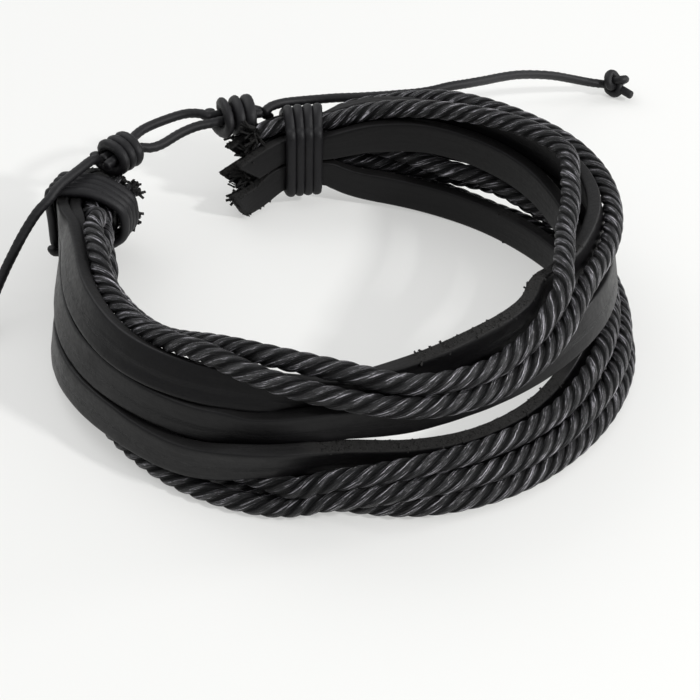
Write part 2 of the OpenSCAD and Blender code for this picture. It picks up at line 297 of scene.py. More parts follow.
for name, rows in (("outer_bridge_cord", outer_bridge_rows), ("inner_bridge_cord", inner_bridge_rows)):
    bridge = cord_tube(name + "_laid", [place(r) for r in along(rows, ROUTE_STEPS)], CORD_D)
    bridge.data.materials.append(cord_finish)
    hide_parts(name)
    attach(bridge, "root")
for name, heart, wide, tall, spread in (
        ("left_knot", left_knot_heart, 2.25, 1.55, 1.12),
        ("right_knot", right_knot_heart, 2.45, 1.65, 1.3)):
    round_it = [math.radians(t) for t in range(0, 360, 36)]
    knot_loop = [(wide * math.cos(t), tall * math.sin(t)) for t in round_it]
    knot = wound(name + "_wound", heart, knot_loop, KNOT_TURNS, CORD_D, spread)
    knot.data.materials.append(cord_finish)
    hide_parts(name)
    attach(knot, "root")

# Bindings: four tight turns of slightly thinner waxed cord that squeeze all nine strands. Each
# runs between two angles, past 360 at the right because the strands are followed on from the
# left. One turn is given as out and high from the middle of the bundle. Skew leans the turns:
# the degrees round the wrist that they gain for each millimetre out.
WRAP_D = 1.1
BINDING_TURNS = 4
left_bound = (148.5, 156.5)
right_bound = (454.5, 463.5)
left_skew = 0.7
left_loop = [(3.85, -3.5), (3.85, 0), (3.85, 3.5), (3.2, 4.3), (1.2, 4.3), (-0.9, 4.1), (-3, 3.2),
             (-4.6, 1.6), (-4.6, -1.6), (-3, -3.2), (-0.9, -4), (1.2, -4.2), (3.2, -4.2)]
right_loop = [(2.5, -3.7), (4.1, -0.2), (4.6, 1.5), (4.3, 2.9), (2.4, 4.3), (0.2, 5.7), (-1.4, 5.7),
              (-3, 4.4), (-3.95, 3.5), (-3.95, -0.6), (-3.95, -4.1), (-3.1, -4.95), (-0.1, -4.8)]
left_heart = [(left_bound[0], 36.3, 7.0), (left_bound[1], 35.1, 7.3)]
right_heart = [(right_bound[0], 33.5, 7.3), (right_bound[1], 33.5, 7.3)]
for name, heart, loop, spread, skew in (
        ("left_binding", left_heart, left_loop, 1.25, left_skew),
        ("right_binding", right_heart, right_loop, 1.3, 0)):
    binding = wound(name + "_wound", heart, loop, BINDING_TURNS, WRAP_D, spread, skew)
    binding.data.materials.append(cord_finish)
    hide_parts(name)
    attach(binding, "root")

# Leather strips: four flat straps cut from dyed hide, smooth on the grain side, with raw cut
# edges that have gone soft and fibrous. Lean turns a strip about its own line, plus tips
# its top edge inwards.
STRIP_W = 4.15
STRIP_T = 1.7
STRIP_STEP = 0.4

# Share of its size that a strand keeps in the bindings, and the degrees it takes to swell again.
# Between two rows of a strand, its line is worked out in fine steps.
SQUEEZE = 0.84
SWELL = 14
FINE_STEPS = 10

strip_upper_rows = [
    (143.5, 38.5, 7.9, 0), (147.5, 39.05, 8.8, 0), (156.5, 37.5, 9, 0), (162.5, 35.4, 10, 6),
    (169, 33, 10.4, 18), (182, 31, 11.6, 28), (200, 30.3, 12.42, 30), (220, 30.1, 12.66, 30),
    (240, 29.5, 13.2, 28), (255, 29.1, 13.9, 18), (270, 28.2, 13.7, 0), (285, 27.8, 15.15, -6),
    (300, 27.6, 16.35, -4), (318, 26.9, 16.25, 4), (327, 25.9, 16.3, 8), (336, 26.3, 15.6, 12),
    (354, 28.35, 14.6, 14), (375, 31.4, 14.5, 12), (400, 32.9, 13.9, 5), (425, 33, 13.3, 0),
    (441, 34.1, 12.1, 0), (449, 34.4, 10.9, 0), (454, 34.65, 9.6, 0), (464, 34.65, 9.6, 0),
    (474, 33.8, 7.6, 0)]
strip_middle_rows = [
    (143.5, 38.5, 3.8, 0), (147.5, 39.05, 5.3, 0), (156.5, 37.5, 5.5, 0), (162.5, 35.75, 6.2, 4),
    (169, 34.1, 6.6, 10), (182, 32.6, 7.2, 18), (200, 31.8, 7.8, 18), (220, 31.3, 8.8, 14),
    (240, 30.9, 9.3, 4), (247.5, 30.8, 9.85, 0), (255, 30.7, 10.1, -6), (270, 30.3, 11.72, -10),
    (285, 29.45, 11.3, -5), (300, 29.1, 11.4, 0), (318, 29.3, 11.6, 20), (336, 30.1, 11.3, 20),
    (354, 31.2, 10.3, 14), (375, 32.8, 9.8, 5), (400, 34.3, 9.2, 0), (425, 34.9, 8.5, 0),
    (441, 35.4, 7.2, 0), (454, 34.6, 5.8, 0), (464, 34.6, 5.8, 0), (476, 33.8, 3.7, 0)]
strip_lower_rows = [
    (143.5, 36.8, 3.8, 0), (147.5, 37.35, 5.25, 0), (156.5, 35.8, 5.6, 0), (163, 33.9, 3.3, 0),
    (166, 33.85, 2.35, 3), (169, 33.7, 2.3, 5), (182, 33.5, 2.6, 10), (200, 33.15, 3.7, 12),
    (220, 32.5, 4.6, 10), (240, 32.4, 5, 0), (255, 32.4, 7.2, -15), (270, 30.3, 7.15, -20),
    (285, 29.8, 5.8, -15), (300, 29.9, 5, -8), (318, 29.6, 4.5, 0), (336, 29.4, 5.2, 2),
    (354, 29.8, 6.1, 8), (375, 30.3, 7.4, 0), (400, 30.9, 10.4, 0), (425, 31, 11.3, 0),
    (441, 30.8, 10.4, 0), (454, 30.95, 8.6, 0), (464, 30.95, 8.6, 0), (474, 30.1, 6.8, 0)]
strip_inner_rows = [
    (143.5, 36.8, 7.9, 0), (147.5, 37.35, 8.8, 0), (156.5, 35.8, 9, 0), (162, 33.55, 9, 0),
    (169, 31.3, 7.55, 0), (182, 29.7, 6.8, 0), (200, 28.6, 5.7, 0), (220, 28.3, 4.9, 0),
    (240, 27.9, 4.35, 0), (255, 27.8, 3.1, 0), (270, 28.5, 2.05, 0), (285, 31.05, 2.05, 0),
    (300, 31.6, 2.05, 0), (318, 31.4, 2.05, 0), (336, 31.4, 2.05, 0), (354, 31.2, 2.05, 0),
    (375, 31, 2.05, 0), (400, 30.5, 2.05, 0), (425, 30.5, 2.3, 0), (441, 30.7, 2.8, 0),
    (447, 30.8, 3.3, 0), (451, 30.9, 4.1, 0), (454, 30.95, 4.65, 0), (464, 30.95, 4.65, 0),
    (472, 30.3, 2.6, 0), (477.5, 29.4, 2.3, 0)]


def share_at(angle):
    """Share of full size that a strand has at an angle."""
    past = min(angle - left_bound[1], right_bound[0] - angle)
    return SQUEEZE + (1 - SQUEEZE) * max(0, min(1, past / SWELL))


def even_rows(rows, gap):
    """Rows about the same distance apart along the strand."""
    path = along(rows, FINE_STEPS)
    run = lengths([place(r) for r in path])
    count = round(run[-1] / gap)
    evened, i = [], 0
    for k in range(count + 1):
        far = run[-1] * k / count
        while i < len(run) - 2 and run[i + 1] < far:
            i += 1
        part = (far - run[i]) / (run[i + 1] - run[i])
        evened.append([a + (b - a) * part for a, b in zip(path[i], path[i + 1])])
    return evened


# Half outline of a strip as it is cut, 3.9 mm wide and 1.7 mm thick: across, out and edge, from
# the middle of its grain side round one cut to the middle of its flesh side. Edge is 1 on the cut.
CUT_W = 3.9
CUT_T = 1.7
strip_half = [
    (0.0, 0.85, 0), (0.6, 0.85, 0), (1.2, 0.85, 0), (1.6, 0.84, 0), (1.8, 0.81, 0),
    (1.9, 0.74, 0.4), (1.94, 0.64, 1), (1.95, 0.4, 1), (1.95, 0.13, 1), (1.95, -0.13, 1),
    (1.95, -0.4, 1), (1.94, -0.64, 1), (1.9, -0.74, 0.6), (1.8, -0.81, 0.2), (1.6, -0.84, 0),
    (1.2, -0.85, 0), (0.6, -0.85, 0), (0.0, -0.85, 0)]

# How far a worn edge strays from its line, the share of that on an edge that isn't worn, and
# the degrees in which wear fades. Then how much and over what length a trimmed end slants, and
# how jagged it is.
EDGE_RAGGED = 0.07
EDGE_EVEN = 0.3
WEAR_FADES = 4
TRIM_SLANT = 0.45
TRIM_REACH = 2.4
TRIM_JAG = 0.25

# Unevenness of hide along a strip, as its size and its waves in a millimetre: the breadth
# wanders, the grain side puffs up, and a cut has nicks with finer crumbs between them.
WANDER, WANDER_RATE = 0.02, 0.15
PUFF, PUFF_RATE = 0.03, 0.5
NICK_RATE = 1.9
CRUMB, CRUMB_RATE = 0.6, 5.1


def strap(name, rows, seed, worn):
    """A leather strap swept along its rows, cut edges ragged where worn, ends trimmed at a slant."""
    path = even_rows(rows, STRIP_STEP)
    points = [place(r) for r in path]
    run = lengths(points)
    outline = strip_half + [(-w, t, e) for w, t, e in reversed(strip_half[1:-1])]
    count, last = len(outline), len(points) - 1
    corners, faces, uvs, edges = [], [], [], []
    for i, (spot, row) in enumerate(zip(points, path)):
        ahead = (points[min(i + 1, last)] - points[max(i - 1, 0)]).normalized()
        side = ahead.cross(Vector((0, 0, 1))).normalized()
        rise = side.cross(ahead)
        tip = math.radians(row[LEAN])
        wide = math.cos(tip) * rise - math.sin(tip) * side
        thick = math.cos(tip) * side + math.sin(tip) * rise
        size = share_at(row[ANGLE])
        breadth = 1 + WANDER * noise.noise(Vector((run[i] * WANDER_RATE, seed, 0)))
        rough = max(max(0, min(1, (row[ANGLE] - a) / WEAR_FADES, (b - row[ANGLE]) / WEAR_FADES))
                    for a, b in worn)
        trim = max(0, 1 - (run[-1] - run[i]) / TRIM_REACH) - max(0, 1 - run[i] / TRIM_REACH)
        around = 0
        for k, (w, t, e) in enumerate(outline):
            e = e * (EDGE_EVEN + (1 - EDGE_EVEN) * rough)
            w, t = w * STRIP_W / CUT_W * breadth, t * STRIP_T / CUT_T
            nicks = noise.noise(Vector((run[i] * NICK_RATE, t * 1.7 + seed, w)))
            crumbs = noise.noise(Vector((run[i] * CRUMB_RATE, t * 4 + seed, w)))
            grow = EDGE_RAGGED * (nicks + CRUMB * crumbs) * e
            puffed = PUFF * noise.noise(Vector((run[i] * PUFF_RATE, w * 0.9, seed + 9)))
            jag = TRIM_JAG * noise.noise(Vector((w * 2, t * 2, seed)))
            cut_back = ahead * trim * (TRIM_SLANT * w + jag)
            across = wide * (w + math.copysign(grow, w) * (e > 0))
            out = thick * (t + puffed * (t > 0))
            corners.append(spot + cut_back + size * (across + out))
            uvs.append((run[i], around))
            edges.append(e)
            after = outline[(k + 1) % count]
            around += math.hypot(after[0] - w, after[1] - t)
    for i in range(last):
        for k in range(count):
            j = (k + 1) % count
            faces.append((i * count + k, i * count + j, (i + 1) * count + j, (i + 1) * count + k))
    faces.append(list(range(count))[::-1])
    faces.append([last * count + k for k in range(count)])
    made = finished(name, corners, faces)
    spread = made.data.attributes.new("hide", "FLOAT_VECTOR", "POINT")
    for i, (u, v) in enumerate(uvs):
        spread.data[i].vector = (u, v, edges[i])
    return made


# Grains of the hide and fibres of its cuts, in a millimetre.
HIDE_GRAINS = 1.8
HIDE_FIBRES = 4.2


def dyed_hide():
    """Full-grain cowhide dyed black through and lightly waxed: satin grain, dull fibrous cuts."""
    made, tree, shader = new_material("dyed_cowhide")
    shader.inputs["Specular IOR Level"].default_value = 0.2
    hide = add(tree, "ShaderNodeAttribute", attribute_name="hide").outputs["Vector"]
    cut = add(tree, "ShaderNodeSeparateXYZ", {0: hide}).outputs["Z"]
    spot = add(tree, "ShaderNodeTexCoord").outputs["Object"]
    grain = add(tree, "ShaderNodeTexNoise", {
        "Vector": spot, "Scale": HIDE_GRAINS / MM, "Detail": 4}).outputs[0]
    drawn = add(tree, "ShaderNodeVectorMath", {0: hide, 1: (0.15, 1.8, 0)}, operation="MULTIPLY").outputs[0]
    pull = add(tree, "ShaderNodeTexNoise", {
        "Vector": drawn, "Scale": 1.0, "Detail": 4, "Roughness": 0.6}).outputs[0]
    fibres = add(tree, "ShaderNodeTexNoise", {
        "Vector": spot, "Scale": HIDE_FIBRES / MM, "Detail": 4, "Roughness": 0.7}).outputs[0]
    face = add(tree, "ShaderNodeMix", {
        0: pull, 6: ink("#060607"), 7: ink("#111011")}, data_type="RGBA").outputs[2]
    raw = add(tree, "ShaderNodeMix", {
        0: fibres, 6: ink("#0e0e0e"), 7: ink("#31302f")}, data_type="RGBA").outputs[2]
    colour = add(tree, "ShaderNodeMix", {0: cut, 6: face, 7: raw}, data_type="RGBA").outputs[2]
    tree.links.new(colour, shader.inputs["Base Color"])
    satin = add(tree, "ShaderNodeMapRange", {
        "Value": grain, "From Min": 0.3, "From Max": 0.7, "To Min": 0.34, "To Max": 0.46}).outputs["Result"]
    rough = add(tree, "ShaderNodeMix", {0: cut, 2: satin, 3: 0.9}).outputs[0]
    tree.links.new(rough, shader.inputs["Roughness"])
    low = add(tree, "ShaderNodeMath", {0: pull, 1: 1.5}, operation="MULTIPLY").outputs[0]
    skin = add(tree, "ShaderNodeMath", {0: grain, 1: low}, operation="ADD").outputs[0]
    height = add(tree, "ShaderNodeMix", {0: cut, 2: skin, 3: fibres}).outputs[0]
    depth = add(tree, "ShaderNodeMapRange", {
        "Value": cut, "To Min": 0.03 * MM, "To Max": 0.16 * MM}).outputs["Result"]
    relief = add(tree, "ShaderNodeBump", {"Height": height, "Strength": 0.8, "Distance": depth})
    tree.links.new(relief.outputs["Normal"], shader.inputs["Normal"])
    return made


hide_finish = dyed_hide()


def modified(base, tree, **sizes):
    """Gives a piece the plain mesh that a node tree makes of it, with its named sizes set."""
    step = base.modifiers.new(tree.name, "NODES")
    step.node_group = tree
    for label, value in sizes.items():
        socket = tree.interface.items_tree[label.replace("_", " ")]
        step[socket.identifier] = value
    bpy.context.view_layer.update()
    made = bpy.data.meshes.new_from_object(base.evaluated_get(bpy.context.evaluated_depsgraph_get()))
    base.modifiers.remove(step)
    old = base.data
    base.data = made
    bpy.data.meshes.remove(old)


# Height of the lowest corners of a piece that lies on the floor.
LIES_AT = 0.02


def settled(piece):
    """What would sink into the floor lies on it."""
    for corner in piece.data.vertices:
        corner.co.z = max(corner.co.z, LIES_AT * MM)


def tree_with(name, sizes):
    """A geometry tree with one geometry in and out, and its named sizes."""
    tree = bpy.data.node_groups.new(name, "GeometryNodeTree")
    tree.interface.new_socket("Geometry", in_out="OUTPUT", socket_type="NodeSocketGeometry")
    tree.interface.new_socket("Geometry", in_out="INPUT", socket_type="NodeSocketGeometry")
    for label, kind, value in sizes:
        socket = tree.interface.new_socket(label, in_out="INPUT", socket_type="NodeSocket" + kind)
        if value is not None:
            socket.default_value = value
    return tree, add(tree, "NodeGroupInput").outputs, add(tree, "NodeGroupOutput").inputs


def frayed_edge():
    """Crumbs and short fibres that stand on a cut edge, a few times as coarse as real ones to show."""
    tree, given, result = tree_with("frayed_edge", [
        ("Per mm2", "Float", 3.0), ("Fibre length", "Float", 0.35 * MM),
        ("Fibre width", "Float", 0.11 * MM), ("Seed", "Int", 1), ("Finish", "Material", None)])
    hide = add(tree, "GeometryNodeInputNamedAttribute", {
        "Name": "hide"}, data_type="FLOAT_VECTOR").outputs["Attribute"]
    cut = add(tree, "ShaderNodeSeparateXYZ", {0: hide}).outputs["Z"]
    raw = add(tree, "ShaderNodeMath", {0: cut, 1: 0.9}, operation="GREATER_THAN").outputs[0]
    per_m2 = add(tree, "ShaderNodeMath", {0: given["Per mm2"], 1: 1e6}, operation="MULTIPLY").outputs[0]
    density = add(tree, "ShaderNodeMath", {0: per_m2, 1: raw}, operation="MULTIPLY").outputs[0]
    spread = add(tree, "GeometryNodeDistributePointsOnFaces", {
        "Mesh": given["Geometry"], "Density": density, "Seed": given["Seed"]})
    line = add(tree, "GeometryNodeCurvePrimitiveLine", {"End": (0, 0, 1)}).outputs["Curve"]
    fine = add(tree, "GeometryNodeResampleCurve", {"Curve": line, "Count": 4}).outputs["Curve"]
    far = add(tree, "GeometryNodeSplineParameter").outputs["Factor"]
    bow = add(tree, "ShaderNodeMath", {0: far, 1: 2.0}, operation="POWER").outputs[0]
    lean = add(tree, "ShaderNodeCombineXYZ", {0: bow, 1: 0.0, 2: 0.0}).outputs[0]
    bent = add(tree, "GeometryNodeSetPosition", {"Geometry": fine, "Offset": lean}).outputs["Geometry"]
    thin = add(tree, "ShaderNodeMapRange", {"Value": far, "To Min": 1.0, "To Max": 0.25}).outputs["Result"]
    drawn = add(tree, "GeometryNodeSetCurveRadius", {"Curve": bent, "Radius": thin}).outputs["Curve"]
    slim = add(tree, "ShaderNodeMath", {
        0: given["Fibre width"], 1: given["Fibre length"]}, operation="DIVIDE").outputs[0]
    slender = add(tree, "GeometryNodeCurvePrimitiveCircle", {
        "Resolution": 3, "Radius": slim}).outputs["Curve"]
    hair = add(tree, "GeometryNodeCurveToMesh", {
        "Curve": drawn, "Profile Curve": slender, "Fill Caps": True}).outputs["Mesh"]
    fibre = add(tree, "GeometryNodeStoreNamedAttribute", {
        "Geometry": hair, "Name": "hide", "Value": (0, 0, 1)}, data_type="FLOAT_VECTOR").outputs[0]
    spin = add(tree, "FunctionNodeRandomValue", {
        0: (-0.9, -0.9, 0), 1: (0.9, 0.9, 6.28), "Seed": given["Seed"]},
        data_type="FLOAT_VECTOR").outputs["Value"]
    stand = add(tree, "FunctionNodeRotateRotation", {
        "Rotation": spread.outputs["Rotation"], "Rotate By": spin},
        rotation_space="LOCAL").outputs["Rotation"]
    chance = add(tree, "FunctionNodeRandomValue", {
        "Min": 0.0, "Max": 1.0, "Seed": given["Seed"]}, data_type="FLOAT").outputs[1]
    few = add(tree, "ShaderNodeMath", {0: chance, 1: 3.0}, operation="POWER").outputs[0]
    size = add(tree, "ShaderNodeMapRange", {"Value": few, "To Min": 0.35, "To Max": 1.5}).outputs["Result"]
    real = add(tree, "ShaderNodeMath", {0: size, 1: given["Fibre length"]}, operation="MULTIPLY").outputs[0]
    stood = add(tree, "GeometryNodeInstanceOnPoints", {
        "Points": spread.outputs["Points"], "Instance": fibre, "Rotation": stand,
        "Scale": real}).outputs["Instances"]
    loose = add(tree, "GeometryNodeRealizeInstances", {"Geometry": stood}).outputs["Geometry"]
    both = add(tree, "GeometryNodeJoinGeometry").inputs[0]
    tree.links.new(loose, both)
    tree.links.new(given["Geometry"], both)
    painted = add(tree, "GeometryNodeSetMaterial", {
        "Geometry": both.node.outputs[0], "Material": given["Finish"]}).outputs["Geometry"]
    tree.links.new(painted, result[0])
    return tree


fray = frayed_edge()

# Degrees round the wrist where each strip's edges are worn, and where all ends are trimmed.
trimmed_ends = ((130, 149), (464, 490))
for seed, (name, rows, worn) in enumerate((
        ("strip_upper", strip_upper_rows, (284, 352)), ("strip_middle", strip_middle_rows, (352, 366)),
        ("strip_lower", strip_lower_rows, (262, 330)), ("strip_inner", strip_inner_rows, (400, 410)))):
    strip = strap(name + "_strap", rows, seed * 7.3, (worn, *trimmed_ends))
    modified(strip, fray, Per_mm2=26.0, Fibre_length=0.3 * MM, Fibre_width=0.12 * MM,
             Seed=seed + 3, Finish=hide_finish)
    settled(strip)
    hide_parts(name)
    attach(strip, "root")

# Ropes: four plies of waxed bast fibre laid left-handed, 2.4 mm thick, one turn in 8.4 mm.
# The long fibres shine along each ply, partly through painted highlight streaks, and the wax keeps them
# together.
ROPE_D = 2.4
ROPE_LAY = 8.4
ROPE_PLIES = 4
ROPE_STEP = 0.5

# Distance of a ply from the rope's middle and its radius, as shares of the rope's diameter.
PLY_OUT = 0.25
PLY_RADIUS = 0.255

# Turn of the fibres round their ply, in radians a metre, and the shift that keeps the pattern
# of one ply from coming again on the next.
FIBRE_TURN = 500.0
PLY_SHIFT = 37.0

rope_top_rows = [
    (143.5, 34.9, 9.1), (147.5, 35.5, 9.2), (156.5, 33.75, 9.5), (162, 30.9, 11.3), (169, 30, 12.4),
    (182, 28.1, 13.5), (200, 27.3, 13.2), (220, 27.35, 14.2), (240, 28.4, 16.5), (255, 30.4, 16.8),
    (270, 31.3, 15.6), (285, 31.8, 13.9), (300, 31.3, 13), (312, 31.2, 13.9), (320, 30.7, 14.6),
    (328, 30, 15.3), (336, 29.5, 15.4), (345, 29.8, 15.3), (354, 30.7, 14.7), (375, 33.55, 14.6),
    (387, 34.8, 14.8), (400, 35.3, 15), (425, 35.1, 15), (441, 36.2, 12.4), (449, 36.4, 11),
    (454, 36.45, 8.9), (464, 36.4, 8.9), (471, 36, 8)]
rope_second_rows = [
    (143.5, 32.5, 9.2), (147.5, 33.8, 8.1), (156.5, 32.05, 8.35), (162, 30.3, 9.1), (169, 28.9, 10.2),
    (182, 28, 11), (200, 26.1, 11.1), (220, 25.4, 12.5), (240, 26.1, 15.9), (255, 27.7, 17.6),
    (270, 29, 17.4), (285, 30.6, 16), (300, 30.7, 15.5), (309, 30.1, 15.8), (314, 29.9, 16.3),
    (318, 29.6, 17), (327, 28.8, 18.4), (336, 27, 18.85), (354, 25.9, 17.6), (375, 28.3, 17.2),
    (387, 31, 17.3), (400, 31.5, 17), (425, 30.9, 15.6), (441, 31.7, 13.8), (454, 32.8, 11.2),
    (464, 32.8, 11.2), (470, 32.3, 10.9)]
rope_third_rows = [
    (143.5, 34.9, 5.95), (147.5, 35.6, 7), (156.5, 33.9, 7.3), (162, 32.5, 5.75), (169, 31.4, 4.3),
    (182, 30.7, 3.65), (200, 30.6, 3.65), (220, 30.4, 3.6), (240, 30.2, 3.7), (255, 31.2, 3.8),
    (262, 32.5, 4.3), (270, 32.8, 6), (285, 32.7, 6.8), (300, 32.4, 6.5), (318, 32.3, 6.2),
    (336, 31.9, 6.4), (354, 32, 5.9), (375, 32.5, 6.1), (400, 32, 6.4), (412, 31.4, 7.2),
    (425, 31.1, 7.1), (441, 32.7, 7.7), (454, 32.75, 8.8), (464, 32.75, 8.8), (471, 32.2, 7.8)]
rope_fourth_rows = [
    (143.5, 34.85, 3.6), (147.5, 35.5, 4.8), (156.5, 33.9, 5.1), (162, 31.9, 2.6), (169, 31.6, 1.6),
    (182, 31.1, 1.2), (200, 31.1, 1.2), (220, 31.6, 1.25), (240, 32.4, 1.25), (255, 32.6, 1.3),
    (262, 32.6, 1.85), (270, 33, 3.4), (285, 33.4, 4.4), (300, 33.6, 4.15), (318, 33.6, 3.9),
    (336, 33.6, 4.1), (354, 33.6, 3.7), (375, 33.8, 3.8), (400, 33.9, 4.2), (412, 33.8, 4.85),
    (425, 33.4, 4.65), (441, 33.2, 5.1), (454, 32.8, 6.5), (464, 32.8, 6.5), (473, 32.1, 5.3)]
rope_bottom_rows = [
    (143.5, 32.9, 4.8), (147.5, 33.75, 5.85), (156.5, 32.1, 6), (162, 30.15, 3.65), (169, 29.3, 2.1),
    (182, 28.4, 1.9), (200, 28.4, 1.2), (220, 28.9, 1.2), (240, 29.3, 1.2), (255, 29.95, 1.2),
    (270, 30.7, 1.2), (285, 33.25, 1.75), (300, 34.2, 1.7), (318, 34.2, 1.5), (336, 34.3, 1.6),
    (354, 34.1, 1.3), (375, 33.2, 1.3), (400, 32.7, 2.2), (412, 32.6, 1.9), (425, 32.6, 2.45),
    (441, 32.9, 2.75), (454, 32.8, 4.2), (464, 32.8, 4.2), (474, 32.1, 2.9)]


def laid_rope():
    """Plies twisted round the line of a rope, its size taken from the line.

    Crest is 1 where a ply stands proud of the rope and falls to the grooves between plies."""
    tree, given, result = tree_with("laid_rope", [
        ("Diameter", "Float", ROPE_D * MM), ("Lay length", "Float", ROPE_LAY * MM),
        ("Plies", "Int", ROPE_PLIES), ("Ring gap", "Float", 0.3 * MM), ("Sides", "Int", 12),
        ("Finish", "Material", None)])
    curve = add(tree, "GeometryNodeMeshToCurve", {0: given["Geometry"]}).outputs[0]
    even = add(tree, "GeometryNodeResampleCurve", {
        "Curve": curve, "Length": given["Ring gap"]}, mode="LENGTH").outputs[0]
    upright = add(tree, "GeometryNodeSetCurveNormal", {"Curve": even}, mode="Z_UP").outputs[0]
    plies = add(tree, "GeometryNodeDuplicateElements", {
        "Geometry": upright, "Amount": given["Plies"]}, domain="SPLINE")
    length = add(tree, "GeometryNodeSplineParameter").outputs["Length"]
    kept = add(tree, "GeometryNodeStoreNamedAttribute", {
        "Geometry": plies.outputs[0], "Name": "far", "Value": length}, data_type="FLOAT").outputs[0]
    which = add(tree, "GeometryNodeStoreNamedAttribute", {
        "Geometry": kept, "Name": "ply", "Value": plies.outputs[1]}, data_type="FLOAT").outputs[0]
    far = add(tree, "GeometryNodeInputNamedAttribute", {
        "Name": "far"}, data_type="FLOAT").outputs["Attribute"]
    ply = add(tree, "GeometryNodeInputNamedAttribute", {
        "Name": "ply"}, data_type="FLOAT").outputs["Attribute"]
    size = add(tree, "GeometryNodeInputNamedAttribute", {
        "Name": "size"}, data_type="FLOAT").outputs["Attribute"]
    turns = add(tree, "ShaderNodeMath", {0: far, 1: given["Lay length"]}, operation="DIVIDE").outputs[0]
    part = add(tree, "ShaderNodeMath", {0: ply, 1: given["Plies"]}, operation="DIVIDE").outputs[0]
    phase = add(tree, "ShaderNodeMath", {0: part, 1: turns}, operation="SUBTRACT").outputs[0]
    angle = add(tree, "ShaderNodeMath", {0: phase, 1: 2 * math.pi}, operation="MULTIPLY").outputs[0]
    normal = add(tree, "GeometryNodeInputNormal").outputs[0]
    tangent = add(tree, "GeometryNodeInputTangent").outputs[0]
    spun = add(tree, "ShaderNodeVectorRotate", {
        "Vector": normal, "Axis": tangent, "Angle": angle}).outputs[0]
    off = add(tree, "ShaderNodeMath", {0: given["Diameter"], 1: PLY_OUT}, operation="MULTIPLY").outputs[0]
    reach = add(tree, "ShaderNodeMath", {0: off, 1: size}, operation="MULTIPLY").outputs[0]
    full = add(tree, "ShaderNodeMath", {
        0: given["Diameter"], 1: PLY_RADIUS}, operation="MULTIPLY").outputs[0]
    shift = add(tree, "ShaderNodeVectorMath", {0: spun, "Scale": reach}, operation="SCALE").outputs[0]
    aimed = add(tree, "GeometryNodeStoreNamedAttribute", {
        "Geometry": which, "Name": "outward", "Value": spun}, data_type="FLOAT_VECTOR").outputs[0]
    twisted = add(tree, "GeometryNodeSetPosition", {"Geometry": aimed, "Offset": shift}).outputs[0]
    sized = add(tree, "GeometryNodeSetCurveRadius", {"Curve": twisted, "Radius": size}).outputs[0]
    circle = add(tree, "GeometryNodeCurvePrimitiveCircle", {
        "Resolution": given["Sides"], "Radius": full}).outputs[0]
    rim = add(tree, "GeometryNodeInputPosition").outputs[0]
    unit_rim = add(tree, "ShaderNodeVectorMath", {0: rim}, operation="NORMALIZE").outputs[0]
    profile = add(tree, "GeometryNodeStoreNamedAttribute", {
        "Geometry": circle, "Name": "rim", "Value": unit_rim}, data_type="FLOAT_VECTOR").outputs[0]
    solid = add(tree, "GeometryNodeCurveToMesh", {
        "Curve": sized, "Profile Curve": profile, "Fill Caps": True}).outputs[0]
    rim_now = add(tree, "GeometryNodeInputNamedAttribute", {
        "Name": "rim"}, data_type="FLOAT_VECTOR").outputs["Attribute"]
    twist = add(tree, "ShaderNodeMath", {0: far, 1: FIBRE_TURN}, operation="MULTIPLY").outputs[0]
    rolled = add(tree, "ShaderNodeVectorRotate", {
        "Vector": rim_now, "Axis": (0, 0, 1), "Angle": twist}).outputs[0]
    ahead = add(tree, "ShaderNodeMath", {0: far, 1: 1 / MM}, operation="MULTIPLY").outputs[0]
    apart = add(tree, "ShaderNodeMath", {
        0: ply, 1: PLY_SHIFT, 2: ahead}, operation="MULTIPLY_ADD").outputs[0]
    flat = add(tree, "ShaderNodeSeparateXYZ", {0: rolled})
    fibre = add(tree, "ShaderNodeCombineXYZ", {0: flat.outputs[0], 1: flat.outputs[1], 2: apart}).outputs[0]
    marked = add(tree, "GeometryNodeStoreNamedAttribute", {
        "Geometry": solid, "Name": "fibre", "Value": fibre}, data_type="FLOAT_VECTOR").outputs[0]
    outward = add(tree, "GeometryNodeInputNamedAttribute", {
        "Name": "outward"}, data_type="FLOAT_VECTOR").outputs["Attribute"]
    facing = add(tree, "ShaderNodeVectorMath", {
        0: outward, 1: add(tree, "GeometryNodeInputNormal").outputs[0]},
        operation="DOT_PRODUCT").outputs["Value"]
    crested = add(tree, "GeometryNodeStoreNamedAttribute", {
        "Geometry": marked, "Name": "crest", "Value": facing}, data_type="FLOAT").outputs[0]
    soft = add(tree, "GeometryNodeSetShadeSmooth", {"Geometry": crested}).outputs[0]
    real = add(tree, "GeometryNodeRealizeInstances", {"Geometry": soft}).outputs[0]
    painted = add(tree, "GeometryNodeSetMaterial", {
        "Geometry": real, "Material": given["Finish"]}).outputs[0]
    tree.links.new(painted, result[0])
    return tree


